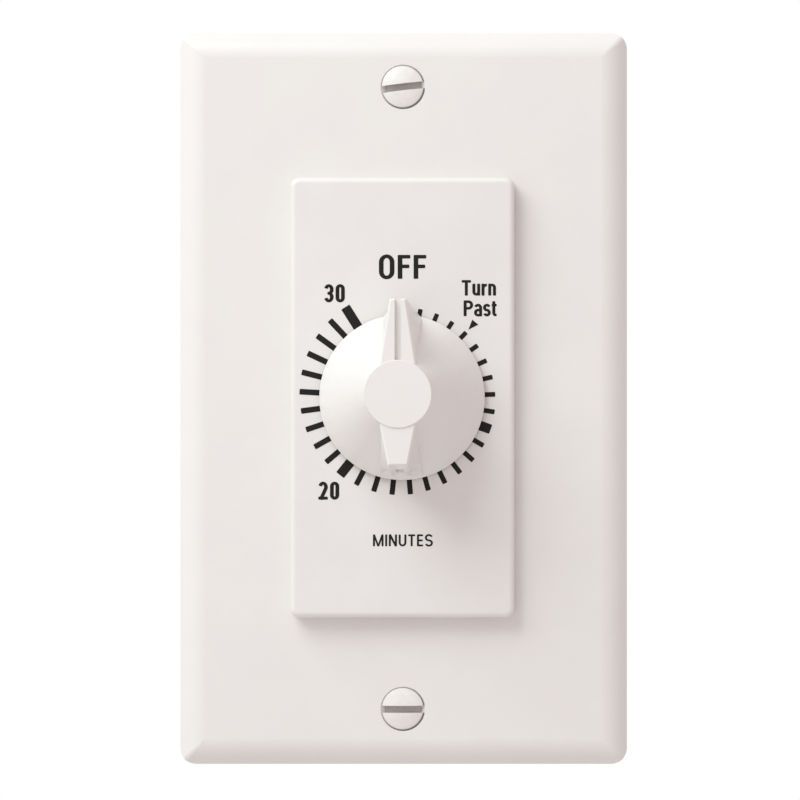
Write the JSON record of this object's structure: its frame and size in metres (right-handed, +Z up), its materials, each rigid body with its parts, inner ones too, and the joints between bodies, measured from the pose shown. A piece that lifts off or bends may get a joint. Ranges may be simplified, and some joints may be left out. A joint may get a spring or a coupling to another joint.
{
  "type": "timer light switch",
  "caption": "Spring-wound wall timer switch: bevelled cover plate, raised dial plate with a tapered pointer knob, steel strap, screws and a rear case that holds the geared movement.",
  "frame": {"origin": "on the wall plane, midway between the two box screws, on the knob's axis", "axes": "+X to the right as seen from the room, +Y into the wall along the box screws, +Z up"},
  "size_m": [0.0698, 0.0602, 0.1142],
  "materials": {
    "plate_plastic": "moulded warm white thermoplastic, satin gloss",
    "dial_plastic": "moulded warm white thermoplastic, satin gloss",
    "knob_plastic": "moulded warm white thermoplastic, satin gloss",
    "painted_steel": "steel screw with a warm white enamel head",
    "zinc_steel": "zinc plated, low sheen",
    "green_steel": "green dyed zinc plate",
    "case_plastic": "black thermoset, as moulded",
    "brass": "stamped sheet, plain",
    "turned_brass": "turned, plain",
    "bright_steel": "turned and polished",
    "spring_steel": "blued tempered strip",
    "cam_plastic": "moulded nylon, natural",
    "block_plastic": "brown phenolic, as moulded",
    "blade_copper": "phosphor bronze strip",
    "contact_silver": "silver alloy, plain"
  },
  "bodies": {
    "switch_body": {"wall_plate": "plate_plastic", "plate_screw_top": "painted_steel", "plate_screw_bottom": "painted_steel", "dial_plate": "dial_plastic", "mounting_strap": "zinc_steel", "box_screws": "zinc_steel", "ground_screw": "green_steel", "rear_case": "case_plastic", "case_screws": "zinc_steel", "front_movement_plate": "zinc_steel", "rear_movement_plate": "zinc_steel", "movement_pillars": "turned_brass", "movement_screws": "zinc_steel", "mainspring": "spring_steel", "spring_post": "bright_steel", "contact_block": "block_plastic", "block_screws": "zinc_steel", "moving_blade": "blade_copper", "moving_contact": "contact_silver", "fixed_contact": "contact_silver", "line_terminal": "brass", "load_terminal": "brass", "blade_screw": "zinc_steel", "terminal_screws": "turned_brass"},
    "winding_arbor": {"timer_knob": "knob_plastic", "knob_spring_clip": "spring_steel", "winding_arbor": "bright_steel", "arbor_clip": "spring_steel", "ratchet_wheel": "bright_steel", "great_wheel": "brass", "click": "bright_steel", "click_spring": "spring_steel", "click_rivets": "turned_brass", "switch_cam": "cam_plastic"},
    "second_wheel": {"second_pinion": "bright_steel", "second_wheel": "brass"},
    "third_wheel": {"third_pinion": "bright_steel", "third_wheel": "brass"},
    "escape_wheel": {"escape_pinion": "bright_steel", "escape_wheel": "brass"},
    "verge": {"verge_staff": "bright_steel", "verge_arm": "brass", "verge_pins": "bright_steel", "balance_bar": "brass"}
  },
  "joints": [
    {"name": "knob_turn", "type": "hinge", "parent": "switch_body", "child": "winding_arbor", "pos_m": [0, 0, 0], "axis": [0, 1, 0], "range_deg": [0, 328], "deforming": ["mainspring", "moving_blade"]},
    {"name": "second_wheel_turn", "type": "hinge", "parent": "switch_body", "child": "second_wheel", "pos_m": [-0.00803, 0, -0.01147], "axis": [0, 1, 0], "continuous": true},
    {"name": "third_wheel_turn", "type": "hinge", "parent": "switch_body", "child": "third_wheel", "pos_m": [0, 0, -0.01709], "axis": [0, 1, 0], "continuous": true},
    {"name": "escape_wheel_turn", "type": "hinge", "parent": "switch_body", "child": "escape_wheel", "pos_m": [0.00643, 0, -0.02249], "axis": [0, 1, 0], "continuous": true},
    {"name": "verge_swing", "type": "hinge", "parent": "switch_body", "child": "verge", "pos_m": [0.01301, 0, -0.02009], "axis": [0, 1, 0], "range_deg": [-7, 7]}
  ],
  "couplings": [
    {"joint": "second_wheel_turn", "follows": "knob_turn", "ratio": -6},
    {"joint": "third_wheel_turn", "follows": "knob_turn", "ratio": 36},
    {"joint": "escape_wheel_turn", "follows": "knob_turn", "ratio": -216}
  ]
}
